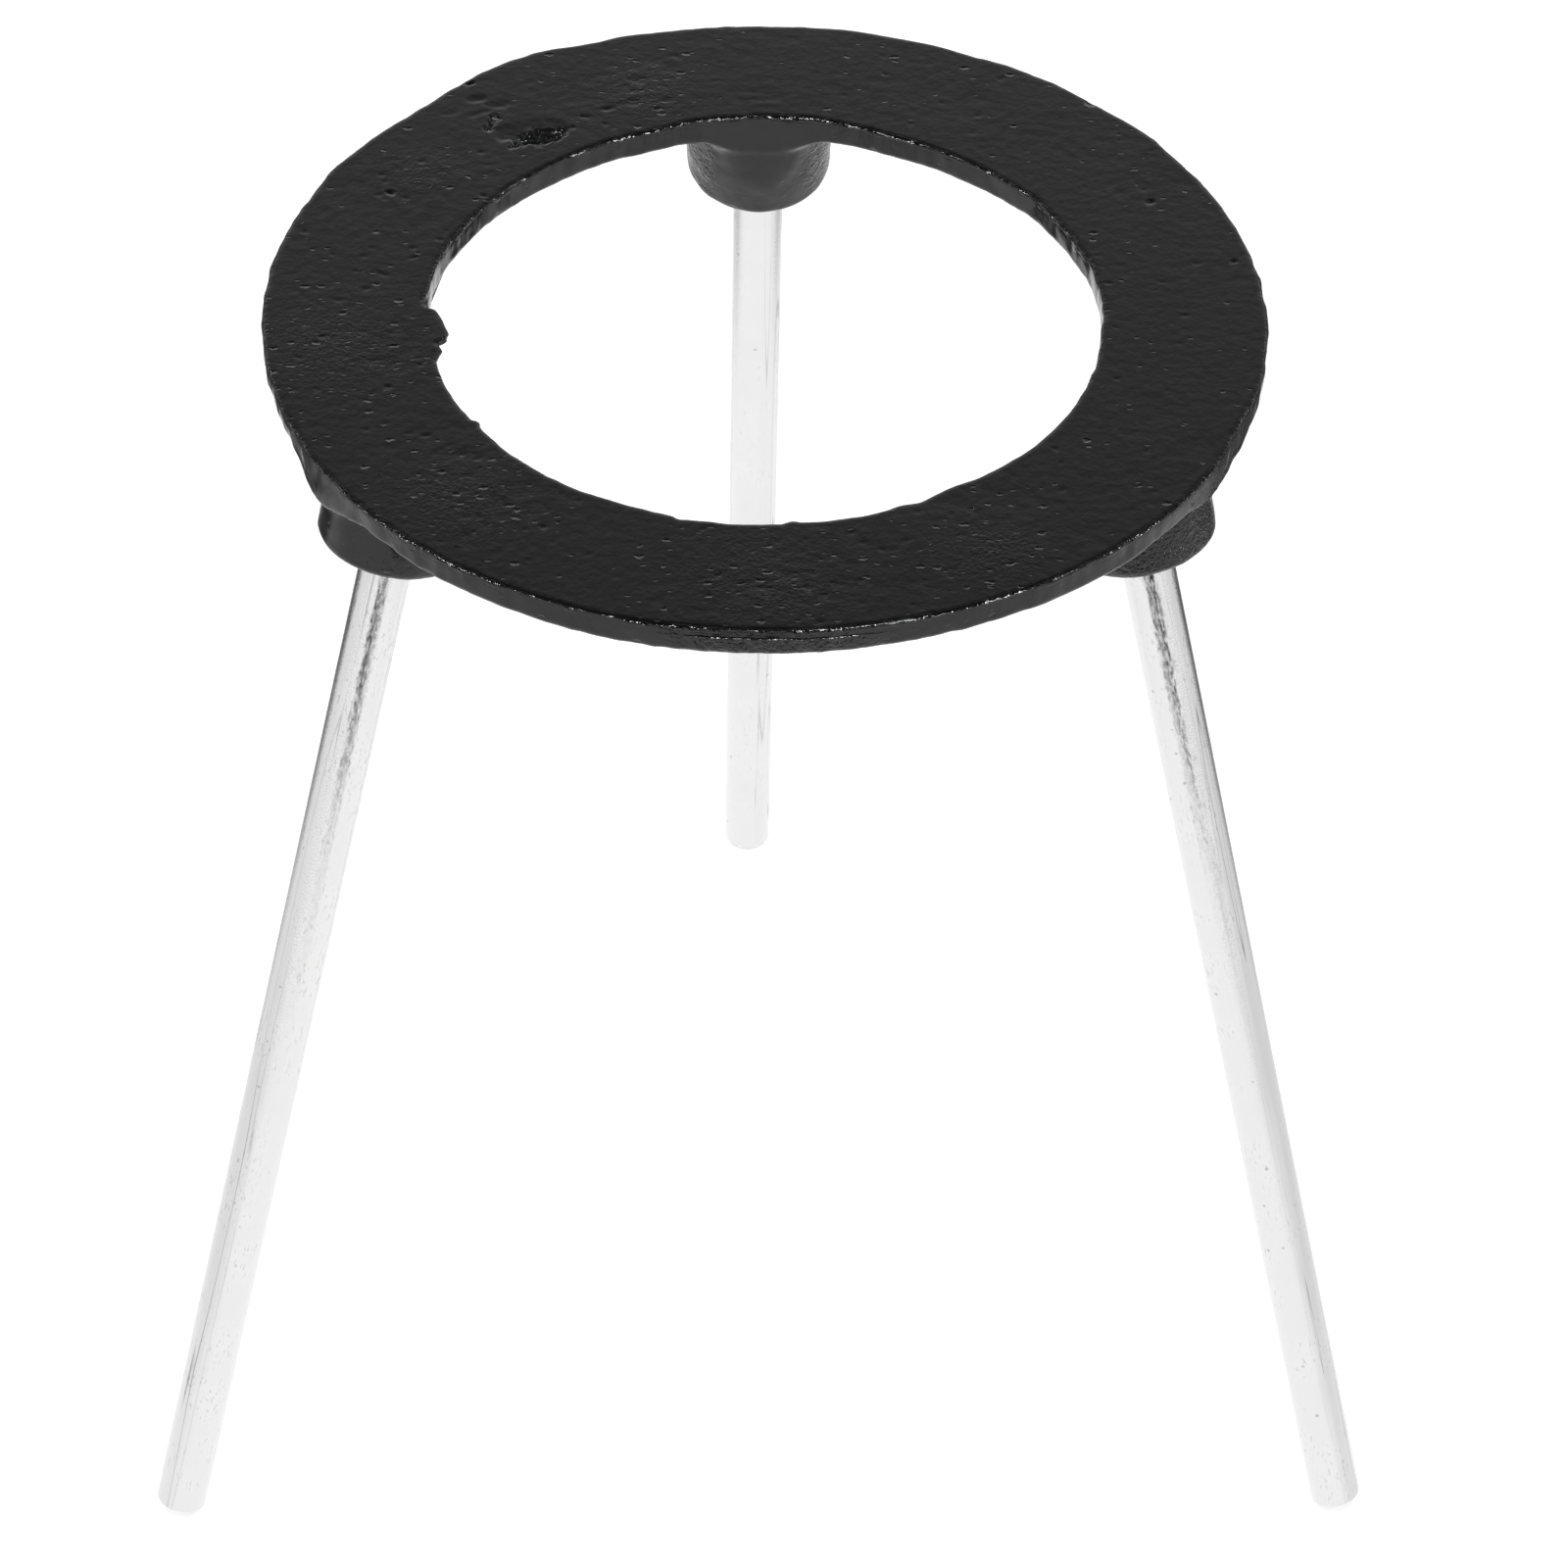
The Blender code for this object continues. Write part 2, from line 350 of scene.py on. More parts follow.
# Hollows in the top face: middle and half size in millimetres, turn in degrees, depth in millimetres
HOLLOWS = (
    ((-44.3, 55.3), (2.1, 1.3), 15, 0.20), ((-41.0, 53.9), (2.6, 1.2), 5, 0.15),
    ((-45.6, 59.5), (0.9, 0.5), 40, 0.55), ((-48.6, 51.6), (2.2, 0.9), 20, 0.10),
    ((-57.2, 30.6), (0.75, 0.5), 0, 0.45), ((-43.6, 51.6), (2.6, 1.0), 35, 0.12),
    ((-36.2, 47.4), (6.4, 3.0), 12, 0.20), ((-39.2, 45.5), (2.6, 1.6), 10, 0.20),
    ((71.3, 12.5), (0.5, 0.6), 0, 0.40), ((63.4, -1.3), (0.7, 0.4), 0, 0.35),
    ((59.7, 27.9), (0.7, 0.4), 20, 0.35), ((51.6, 54.0), (1.3, 0.6), -45, 0.50),
    ((-66.5, -6.0), (0.6, 0.4), 0, 0.35), ((-60.0, 6.0), (0.5, 0.4), 0, 0.30),
    ((-24.0, 52.5), (1.6, 0.6), 10, 0.22), ((-27.5, 50.5), (1.2, 0.5), -10, 0.20),
)
BROKEN_HOLLOWS = (
    ((-41.3, 50.2), (0.7, 1.0), -25, 0.9), ((-41.9, 48.8), (0.55, 1.2), -30, 0.9),
    ((-42.4, 47.2), (0.7, 1.0), 10, 0.9), ((-38.4, 42.6), (0.9, 0.6), 35, 0.7),
    ((-34.1, 45.6), (4.9, 2.2), 17, 1.5), ((-37.2, 44.0), (1.9, 1.2), 20, 1.1),
)
CHANCE_PITS = 200
LUMPY_WALL = (272, 24)          # where the outer wall is lumpiest: azimuth and half width in degrees
# Where the top face is pitted most: place and reach in millimetres
PITTED_SPOTS = (
    ((-64, -8), 30), ((-45, -45), 24), ((0, -64), 30),
    ((-18, 57), 17), ((32, -57), 20), ((-52, 36), 14),
)
# Where it lies in short ripples: place, reach and height in millimetres
RIPPLED_SPOTS = (
    ((-18, 58), 11, 0.16), ((-12, -64), 26, 0.03), ((-2, 55), 9, 0.06), ((-52, -42), 22, 0.025),
)


def oval_share(points, middle, half_size, turn):
    """In an oval of the top face: 1 on its floor and 0 on its rim, and -1 to 1 from near to far side."""
    angle = radians(turn)
    x = points[:, 0] - middle[0] * MM
    y = points[:, 1] - middle[1] * MM
    along = (x * cos(angle) + y * sin(angle)) / (half_size[0] * MM)
    across = (y * cos(angle) - x * sin(angle)) / (half_size[1] * MM)
    share = smooth_step(1.0 - along * along - across * across, 0.0, 0.6)
    return share, np.clip(across, -1.0, 1.0)


def wedge(points, middle, half_size, turn, depth):
    """A hollow whose floor slopes down from its far side to a steep near side."""
    share, across = oval_share(points, middle, half_size, turn)
    return depth * MM * share * (0.55 - 0.45 * across)


def broken(points):
    """1 inside the hollows with broken floors, 0 elsewhere."""
    total = np.zeros(len(points))
    for middle, half_size, turn, _ in BROKEN_HOLLOWS:
        share, _ = oval_share(warped(points), middle, half_size, turn)
        total = np.maximum(total, share)
    return total * smooth_step(TOP - points[:, 2], 2.5 * MM, 1.5 * MM)


def warped(points):
    """The points pushed about sideways, which turns ovals into ragged shapes."""
    shift = np.zeros_like(points)
    for axis in (0, 1):
        shift[:, axis] = 0.35 * MM * noise(points, 1.5 * MM, 41 + axis)
        shift[:, axis] += 0.18 * MM * noise(points, 0.75 * MM, 43 + axis)
    return points + shift


def pitting(points):
    """How pitted the skin is, 0 to 1."""
    total = np.full(len(points), 0.22)
    for (x, y), reach in PITTED_SPOTS:
        away = np.hypot(points[:, 0] - x * MM, points[:, 1] - y * MM)
        total += 0.75 * hump(away, 0.0, reach * MM)
    return np.clip(total, 0.0, 1.0)


def skin_roughness(points, legs):
    """How rough the casting is, from 0: its top's pitted places, its front wall and its bosses' sides."""
    total = pitting(points)
    below = smooth_step(TOP - points[:, 2], 3.5 * MM, 5 * MM)
    total = 0.8 * total * (1.0 - 0.6 * below)
    azimuth = np.degrees(np.arctan2(points[:, 1], points[:, 0]))
    front_wall = (TOP - points[:, 2] > 1.3 * MM) * (np.hypot(points[:, 0], points[:, 1]) > 72 * MM)
    total += 1.1 * front_wall * hump(turn_from(azimuth, LUMPY_WALL[0]), 0.0, LUMPY_WALL[1])
    for name, _, mouth, _ in legs:
        sideways = Vector((-mouth.y, mouth.x, 0.0)).normalized()
        offset = (points - np.array(mouth)) @ np.array(sideways)
        near = smooth_step(np.linalg.norm(points - np.array(mouth), axis=1), 24 * MM, 16 * MM)
        rough = smooth_step(np.abs(offset), 5.0 * MM, 8.5 * MM)
        total += below * near * rough * (0.5 if name == "front_left_leg" else 1.3)
        if name == "front_right_leg":
            total += near * below * 0.85 + near * (TOP - points[:, 2] > 0.9 * MM) * 0.85
    return np.clip(total, 0.0, 1.35)


def chance_pits():
    """Small pits scattered over the top face, most of them where it is pitted."""
    chance = np.random.default_rng(5)
    pits = []
    while len(pits) < CHANCE_PITS:
        angle, radius = chance.uniform(0, 2 * pi), chance.uniform(52, 74)
        size, depth, draw = chance.uniform(0.4, 0.75), chance.uniform(0.08, 0.2), chance.uniform()
        middle = (radius * cos(angle), radius * sin(angle))
        if draw < pitting(np.array([[*middle, 0.0]]) * MM)[0]:
            pits.append((middle, (size, size * 0.65), chance.uniform(-25, 25), depth))
    return pits


def surface_relief(points, normals):
    """How far each point of the smooth casting moves along its normal, in metres."""
    pitted = pitting(points)
    relief = (0.016 + 0.018 * pitted) * MM * noise(points, 2.3 * MM, 21)
    relief += (0.006 + 0.018 * pitted) * MM * noise(points, 1.15 * MM, 22)
    relief += 0.05 * MM * noise(points, 11 * MM, 23)
    on_wall = 1.0 - smooth_step(normals[:, 2], 0.4, 0.8)
    relief += on_wall * 0.05 * MM * noise(points, 2.1 * MM, 24)
    azimuth = np.degrees(np.arctan2(points[:, 1], points[:, 0]))
    lumpy = hump(turn_from(azimuth, LUMPY_WALL[0]), 0.0, LUMPY_WALL[1])
    upright = 1.0 - smooth_step(normals[:, 2], 0.05, 0.35)
    relief += upright * lumpy * 0.09 * MM * noise(points, 1.4 * MM, 27)
    relief *= 0.3 + 0.7 * smooth_step(normals[:, 2], -0.9, -0.6)
    on_top = smooth_step(normals[:, 2], 0.6, 0.95)
    for (x, y), reach, height in RIPPLED_SPOTS:
        away = np.hypot(points[:, 0] - x * MM, points[:, 1] - y * MM)
        ripple = noise(points * (0.45, 1.0, 1.0), 1.1 * MM, 26)
        relief += on_top * height * MM * ripple * hump(away, 0.0, reach * MM)
    ragged = warped(points)
    cut = np.zeros(len(points))
    for hollow in itertools.chain(HOLLOWS, chance_pits()):
        cut = np.maximum(cut, wedge(ragged, *hollow))
    for hollow in BROKEN_HOLLOWS:
        cut = np.maximum(cut, wedge(ragged, *hollow))
    cut += broken(points) * 0.09 * MM * noise(points, 0.8 * MM, 25)
    return relief - on_top * cut


def make_mesh_object(name, points, faces, material, smooth=True):
    mesh = bpy.data.meshes.new(name)
    mesh.vertices.add(len(points))
    mesh.vertices.foreach_set("co", np.asarray(points, np.float32).ravel())
    sides = np.array([len(face) for face in faces]) if isinstance(faces, list) else None
    if sides is None:
        sides = np.full(len(faces), faces.shape[1])
        corners = faces.ravel()
    else:
        corners = np.concatenate([np.asarray(face) for face in faces])
    mesh.loops.add(len(corners))
    mesh.loops.foreach_set("vertex_index", corners.astype(np.int32))
    mesh.polygons.add(len(sides))
    starts = np.concatenate([[0], np.cumsum(sides)[:-1]])
    mesh.polygons.foreach_set("loop_start", starts.astype(np.int32))
    mesh.polygons.foreach_set("use_smooth", np.full(len(sides), smooth))
    mesh.update(calc_edges=True)
    mesh.validate()
    mesh.materials.append(material)
    thing = bpy.data.objects.new(name, mesh)
    bpy.context.collection.objects.link(thing)
    return thing


# Share of all the mesh's triangles that stay when the ring's underside is thinned out, then its bosses
UNDERSIDE_PASS = 0.67
BOSS_PASS = 0.87


def thin_out(thing, chosen, kept):
    """Fewer, larger triangles at the chosen vertices; the other vertices stay as they are."""
    group = thing.vertex_groups.new(name="thinned")
    group.add([int(index) for index in np.flatnonzero(chosen)], 1.0, "REPLACE")
    modifier = thing.modifiers.new("thinned", "DECIMATE")
    modifier.ratio = kept
    modifier.vertex_group = group.name
    apply_modifiers(thing)


def thin_casting(casting):
    places, normals = vertex_vectors(casting, "co"), vertex_vectors(casting, "normal")
    below = TOP - places[:, 2]
    thin_out(casting, (normals[:, 2] < -0.8) & (below < 9 * MM), UNDERSIDE_PASS)
    below = TOP - vertex_vectors(casting, "co")[:, 2]
    thin_out(casting, below > 8 * MM, BOSS_PASS)


def vertex_vectors(thing, name):
    values = np.empty(len(thing.data.vertices) * 3)
    thing.data.vertices.foreach_get(name, values)
    return values.reshape(-1, 3)


def apply_modifiers(thing):
    """The object keeps its evaluated mesh and no modifier."""
    evaluated = thing.evaluated_get(bpy.context.evaluated_depsgraph_get())
    mesh = bpy.data.meshes.new_from_object(evaluated)
    thing.modifiers.clear()
    old, thing.data = thing.data, mesh
    bpy.data.meshes.remove(old)
    thing.vertex_groups.clear()


def add_attribute(thing, name, values):
    """A number at each vertex, which the material reads."""
    attribute = thing.data.attributes.new(name, "FLOAT", "POINT")
    attribute.data.foreach_set("value", values.astype(np.float32))


def make_casting(legs, material):
    radii, turns, heights = casting_grid()
    grid = np.meshgrid(radii, turns, heights, indexing="ij")
    corners = np.stack(
        [grid[0] * np.cos(grid[1]), grid[0] * np.sin(grid[1]), grid[2]], axis=-1
    ).reshape(-1, 3)

    def field(points):
        return casting_field(points, legs)

    values = field(corners).reshape(grid[0].shape)
    points, quads = surface_net(values, radii, turns, heights)
    for _ in range(2):
        here = field(points)
        slope = slope_of(field, points, here)
        size = np.maximum(np.sum(slope * slope, axis=1), 0.25)
        step = np.clip(here / size, -0.2 * MM, 0.2 * MM)
        points = points - step[:, None] * slope
    slope = slope_of(field, points, field(points))
    normals = slope / np.maximum(np.linalg.norm(slope, axis=1), 1e-6)[:, None]
    points = points + surface_relief(points, normals)[:, None] * normals
    points[:, 2] = np.minimum(points[:, 2], TOP)
    casting = make_mesh_object("ring_enamelled", points, quads, material)
    thin_casting(casting)
    places, normals = vertex_vectors(casting, "co"), vertex_vectors(casting, "normal")
    on_edge = hump(normals[:, 2], 0.62, 0.42) * smooth_step(TOP - places[:, 2], 1.6 * MM, 0.9 * MM)
    add_attribute(casting, "pitting", skin_roughness(places, legs))
    add_attribute(casting, "broken", broken(places))
    add_attribute(casting, "edge", on_edge)
    return casting


# ---------------------------------------------------------------- a leg

def rod_rows(foot):
    """Radius and height of each row of a rod's outline, foot first; the thread is added to it later."""
    rows = []
    rounding = 5
    for step in range(rounding + 1):
        angle = radians(90) * step / rounding
        rows.append((
            ROD_RADIUS - ROD_CHAMFER + ROD_CHAMFER * sin(angle),
            foot + ROD_CHAMFER - ROD_CHAMFER * cos(angle),
        ))
    plain = np.arange(foot + ROD_CHAMFER + 1 * MM, ROD_TIP - THREAD_LENGTH, 1 * MM / detail)
    rows += [(ROD_RADIUS, height) for height in plain]
    return rows


def thread_drop(turn, height):
    """How far a 60 degree thread's flank lies under the rod's radius."""
    phase = (height / THREAD_PITCH - turn / (2 * pi)) % 1.0
    crest = np.clip(1.5 - np.abs(phase - 0.5) * 4, 0.0, 1.0)
    started = smooth_step(height, ROD_TIP - THREAD_LENGTH, ROD_TIP - THREAD_LENGTH + THREAD_PITCH)
    return THREAD_DEPTH * (1.0 - crest) * started


ROD_SEGMENTS = 72
FOOT_RISE = 0.06 * MM           # keeps the tilted foot inside the CAD's box


def make_leg(name, foot, seed, matrix, material):
    """A rod in the frame's own axes; its own coordinates stay with it for the material."""
    segments = ROD_SEGMENTS
    turns = np.arange(segments) * 2 * pi / segments
    rows = rod_rows(foot)
    thread_heights = np.arange(ROD_TIP - THREAD_LENGTH, ROD_TIP - ROD_CHAMFER, THREAD_PITCH / 10)
    rows += [(ROD_RADIUS, height) for height in thread_heights]
    points = []
    for radius, height in rows:
        around = radius - thread_drop(turns, height)
        ring_points = np.stack(
            [around * np.cos(turns), around * np.sin(turns), np.full(segments, height)], axis=1
        )
        points.append(ring_points)
    core = ROD_RADIUS - THREAD_DEPTH - ROD_CHAMFER
    tip = np.full(segments, ROD_TIP)
    points.append(np.stack([core * np.cos(turns), core * np.sin(turns), tip], axis=1))
    points = np.concatenate(points)
    outward = points * (1.0, 1.0, 0.0)
    outward /= np.linalg.norm(outward, axis=1)[:, None]
    dents = 0.012 * MM * noise(points + seed, 6 * MM, 31) + 0.006 * MM * noise(points + seed, 2 * MM, 32)
    shank = smooth_step(points[:, 2], 0.0, -2 * MM)
    shank *= smooth_step(points[:, 2], foot + 0.2 * MM, foot + 1 * MM)
    points = points - (np.abs(dents) * shank)[:, None] * outward
    row_count = len(points) // segments
    here = np.arange(segments)
    after = (here + 1) % segments
    faces = []
    for row in range(row_count - 1):
        low, high = row * segments, (row + 1) * segments
        faces += np.stack([low + here, low + after, high + after, high + here], axis=1).tolist()
    faces.append(list(range(segments))[::-1])
    faces.append(list(range((row_count - 1) * segments, row_count * segments)))
    placed = points @ np.array(matrix.to_3x3()).T + np.array(matrix.translation)
    leg = make_mesh_object(name, placed, faces, material)
    for cap in leg.data.polygons[-2:]:
        cap.use_smooth = False
    own = leg.data.attributes.new("along_rod", "FLOAT_VECTOR", "POINT")
    own.data.foreach_set("vector", points.astype(np.float32).ravel())
    return leg


# ---------------------------------------------------------------- materials

def new_material(name):
    material = bpy.data.materials.new(name)
    material.use_nodes = True
    tree = material.node_tree
    return material, tree, tree.nodes["Principled BSDF"]


def add_node(tree, kind, inputs=None, **settings):
    node = tree.nodes.new(kind)
    for name, value in settings.items():
        setattr(node, name, value)
    for name, value in (inputs or {}).items():
        if isinstance(value, bpy.types.NodeSocket):
            tree.links.new(value, node.inputs[name])
        else:
            node.inputs[name].default_value = value
    return node


def compute(tree, operation, first, second=0.0, third=0.0):
    node = tree.nodes.new("ShaderNodeMath")
    node.operation = operation
    for index, value in enumerate((first, second, third)):
        if isinstance(value, bpy.types.NodeSocket):
            tree.links.new(value, node.inputs[index])
        else:
            node.inputs[index].default_value = value
    return node.outputs[0]


def vector_math(tree, operation, inputs):
    """The outputs of a vector node: its Vector first, and its Value by name."""
    return add_node(tree, "ShaderNodeVectorMath", inputs, operation=operation).outputs


def mapped(tree, vector, **inputs):
    return add_node(tree, "ShaderNodeMapping", {"Vector": vector, **inputs}).outputs[0]


def noise_node(tree, vector, scale, octaves=2.0, roughness=0.5):
    inputs = {"Vector": vector, "Scale": scale, "Detail": octaves, "Roughness": roughness}
    return add_node(tree, "ShaderNodeTexNoise", inputs).outputs["Fac"]


def ramp_between(tree, value, low, high, out_low=0.0, out_high=1.0):
    inputs = {"Value": value, "From Min": low, "From Max": high, "To Min": out_low, "To Max": out_high}
    node = add_node(tree, "ShaderNodeMapRange", inputs, interpolation_type="SMOOTHSTEP")
    return node.outputs["Result"]


def pinholes(tree, place, spacing, size, share_low, share_high, pitted):
    """Round dots at random places, 1 in each: more of them where the skin is pitted."""
    cells = add_node(tree, "ShaderNodeTexVoronoi", {"Vector": place, "Scale": 1 / spacing})
    reach = size / spacing
    spot = ramp_between(tree, cells.outputs["Distance"], 0.35 * reach, reach, 1.0, 0.0)
    chosen = add_node(tree, "ShaderNodeSeparateColor", {"Color": cells.outputs["Color"]}).outputs[0]
    threshold = ramp_between(tree, pitted, 0.0, 1.0, 1.0 - share_low, 1.0 - share_high)
    return compute(tree, "MULTIPLY", spot, compute(tree, "GREATER_THAN", chosen, threshold))


def black_enamel():
    """Thick glossy black enamel over a cast surface: orange peel, fine grain and scattered pinholes."""
    material, tree, shader = new_material("black_enamel_gloss")
    place = add_node(tree, "ShaderNodeTexCoord").outputs["Object"]
    pitted = add_node(tree, "ShaderNodeAttribute", attribute_name="pitting").outputs["Fac"]
    ragged = add_node(tree, "ShaderNodeAttribute", attribute_name="broken").outputs["Fac"]
    edge = add_node(tree, "ShaderNodeAttribute", attribute_name="edge").outputs["Fac"]
    swirl = {"Vector": place, "Scale": 1 / (0.9 * MM), "Detail": 1.0}
    swirl = add_node(tree, "ShaderNodeTexNoise", swirl).outputs["Color"]
    swirl = vector_math(tree, "SCALE", {0: swirl, "Scale": 0.7 * MM})[0]
    stirred = vector_math(tree, "ADD", {0: place, 1: swirl})[0]
    longer = mapped(tree, stirred, Scale=(0.55, 1.0, 1.0))
    peel = noise_node(tree, place, 1 / (1.7 * MM), 1.0)
    grain = noise_node(tree, place, 1 / (0.6 * MM), 2.0)
    large = pinholes(tree, longer, 2.0 * MM, 0.50 * MM, 0.05, 0.60, pitted)
    small = pinholes(tree, longer, 1.1 * MM, 0.32 * MM, 0.07, 0.50, pitted)
    splinters = noise_node(tree, stirred, 1 / (0.7 * MM), 2.0, 0.6)
    height = compute(tree, "MULTIPLY", peel, 0.055)
    height = compute(tree, "MULTIPLY_ADD", grain, 0.015, height)
    height = compute(tree, "MULTIPLY_ADD", large, -0.10, height)
    height = compute(tree, "MULTIPLY_ADD", small, -0.042, height)
    scraped = compute(tree, "MULTIPLY", compute(tree, "POWER", pitted, 3.0), 0.20)
    scraped = compute(tree, "MULTIPLY_ADD", ragged, 0.22, scraped)
    scraped = compute(tree, "MULTIPLY_ADD", edge, 0.36, scraped)
    height = compute(tree, "MULTIPLY_ADD", compute(tree, "MULTIPLY", splinters, scraped), 1.0, height)
    bump = add_node(tree, "ShaderNodeBump", {"Height": height, "Strength": 1.0, "Distance": 1.0 * MM})
    tree.links.new(bump.outputs["Normal"], shader.inputs["Normal"])
    region = noise_node(tree, place, 1 / (16 * MM), 1.0)
    tint = add_node(tree, "ShaderNodeMix", {"Factor": region}, data_type="RGBA")
    tint.inputs[6].default_value = (0.0032, 0.0032, 0.0034, 1)
    tint.inputs[7].default_value = (0.0046, 0.0046, 0.0048, 1)
    tree.links.new(tint.outputs[2], shader.inputs["Base Color"])
    smear = noise_node(tree, place, 1 / (7 * MM), 3.0)
    tree.links.new(ramp_between(tree, smear, 0.3, 0.7, 0.09, 0.17), shader.inputs["Roughness"])
    shader.inputs["IOR"].default_value = 1.45
    return material


# Painted shade: toward which side each rod is darker, in the frame's axes, and by how much
SHADED_SIDE = {
    "back_leg": (1.0, 0.0, 0.0), "front_left_leg": (-1.0, 0.0, 0.0), "front_right_leg": (1.0, 0.0, 0.0),
}
SIDE_SHADE = {"back_leg": 0.02, "front_left_leg": 0.06, "front_right_leg": 0.12}
# How much darker each rod's small flecks are
FLECKS = {"back_leg": 0.05, "front_left_leg": 0.16, "front_right_leg": 0.14}
# Painted reflections and shade down each rod's camera-facing front: dark streaks, partly staining, and
# darker lines at its edges; place across it from -1 to 1, half width in degrees, how much darker, length
# in metres
SHADE_STREAKS = {
    "back_leg": ((-0.93, 4, 0.10, 180 * MM), (0.93, 4, 0.10, 180 * MM)),
    "front_left_leg": (
        (-0.05, 9, 0.46, 60 * MM), (0.02, 9, 0.12, 120 * MM), (-0.93, 4, 0.10, 110 * MM),
        (0.90, 3, 0.10, 150 * MM),
    ),
    "front_right_leg": (
        (0.02, 9, 0.46, 68 * MM), (0.20, 9, 0.18, 110 * MM), (0.24, 2.5, 0.40, 75 * MM),
        (0.94, 4, 0.14, 120 * MM),
    ),
}


def add_shade_streak(tree, place, drawn, wobble, across, half_width, darkening, length, axes):
    """How much darker the zinc is along one streak of painted reflection and shade: broken up sideways
    and fading down the rod.
    """
    front, right = axes
    angle = asin(across)
    middle = front * cos(angle) + right * sin(angle)
    level = vector_math(tree, "MULTIPLY", {0: place, 1: (1, 1, 0)})[0]
    level = vector_math(tree, "NORMALIZE", {0: level})[0]
    facing = vector_math(tree, "DOT_PRODUCT", {0: level, 1: middle})["Value"]
    width = radians(half_width)
    spread = cos(0.3 * width) - cos(1.6 * width)
    facing = compute(tree, "MULTIPLY_ADD", compute(tree, "SUBTRACT", wobble, 0.5), 1.3 * spread, facing)
    inside = ramp_between(tree, facing, cos(1.6 * width), cos(0.3 * width))
    height = add_node(tree, "ShaderNodeSeparateXYZ", {"Vector": place}).outputs["Z"]
    fade = ramp_between(tree, height, -length, -0.2 * length)
    share = compute(tree, "MULTIPLY", inside, fade)
    share = compute(tree, "MULTIPLY", share, ramp_between(tree, drawn, 0.30, 0.55, 0.35, 1.0))
    share = compute(tree, "MULTIPLY", share, ramp_between(tree, wobble, 0.36, 0.58, 0.45, 1.0))
    return compute(tree, "MULTIPLY", share, darkening)


def bright_zinc(name, offset, shaded_side, side_shade_depth, flecking, shade_streaks_here, axes):
    """Bright zinc plating on drawn rod: lengthwise bands, painted shade down one side with thin dark
    lines there, painted dark reflection streaks (partly staining) and darker edges, flecks, specks.
    """
    material, tree, shader = new_material(name)
    shader.inputs["Metallic"].default_value = 1.0
    place = add_node(tree, "ShaderNodeAttribute", attribute_name="along_rod").outputs["Vector"]
    moved = mapped(tree, place, Location=offset)
    drawn = mapped(tree, moved, Scale=(1, 1, 0.02))
    streaks = noise_node(tree, drawn, 1 / (1.1 * MM), 3.0, 0.6)
    lines = noise_node(tree, drawn, 1 / (1.5 * MM), 0.0)
    from_line = compute(tree, "ABSOLUTE", compute(tree, "SUBTRACT", lines, 0.62))
    line = ramp_between(tree, from_line, 0.0, 0.02, 1.0, 0.0)
    grain = noise_node(tree, moved, 1 / (0.32 * MM), 2.0, 0.6)
    cloud = noise_node(tree, moved, 1 / (9 * MM), 2.0)
    # Painted shade: the rod's base colour darker toward one side, in lengthwise bands
    side = Vector((shaded_side.x, shaded_side.y, 0.0)).normalized() / ROD_RADIUS
    across = vector_math(tree, "DOT_PRODUCT", {0: place, 1: side})["Value"]
    banded = compute(tree, "MULTIPLY_ADD", compute(tree, "SUBTRACT", streaks, 0.5), 1.1, across)
    shaded_share = ramp_between(tree, banded, 0.05, 0.75)
    specks = add_node(tree, "ShaderNodeTexVoronoi", {"Vector": moved, "Scale": 1 / (3.2 * MM)})
    speck = ramp_between(tree, specks.outputs["Distance"], 0.05, 0.13, 1.0, 0.0)
    chosen = add_node(tree, "ShaderNodeSeparateColor", {"Color": specks.outputs["Color"]}).outputs[0]
    speck = compute(tree, "MULTIPLY", speck, compute(tree, "GREATER_THAN", chosen, 0.8))
    brushed = mapped(tree, moved, Scale=(1, 1, 0.3))
    flecks = noise_node(tree, brushed, 1 / (0.42 * MM), 2.0, 0.6)
    fleck = ramp_between(tree, flecks, 0.56, 0.70)
    fleck = compute(tree, "MULTIPLY", fleck, ramp_between(tree, cloud, 0.40, 0.62))
    # The base colour, less the painted shade on one side and the flecks
    bright = compute(tree, "MULTIPLY_ADD", shaded_share, -side_shade_depth, 0.73)
    bright = compute(tree, "MULTIPLY_ADD", fleck, -flecking, bright)
    # Painted reflections and shade: dark streaks down the side that faces the camera, and darker rod
    # edges
    for streak in shade_streaks_here:
        darker = add_shade_streak(tree, place, streaks, flecks, *streak, axes)
        bright = compute(tree, "SUBTRACT", bright, darker)
    # Thin dark lines, only on the side with painted shade
    bright = compute(tree, "MULTIPLY_ADD", compute(tree, "MULTIPLY", line, shaded_share), -0.30, bright)
    bright = compute(tree, "MULTIPLY_ADD", speck, -0.25, bright)
    bright = compute(tree, "MULTIPLY_ADD", compute(tree, "SUBTRACT", cloud, 0.5), 0.06, bright)
    tree.links.new(bright, shader.inputs["Base Color"])
    rough = ramp_between(tree, cloud, 0.3, 0.7, 0.12, 0.22)
    tree.links.new(rough, shader.inputs["Roughness"])
    height = compute(tree, "MULTIPLY", streaks, 0.012)
    height = compute(tree, "MULTIPLY_ADD", grain, 0.05, height)
    height = compute(tree, "MULTIPLY_ADD", speck, -0.02, height)
    bump = add_node(tree, "ShaderNodeBump", {"Height": height, "Strength": 1.0, "Distance": 1.0 * MM})
    tree.links.new(bump.outputs["Normal"], shader.inputs["Normal"])
    return material


# ---------------------------------------------------------------- the studio

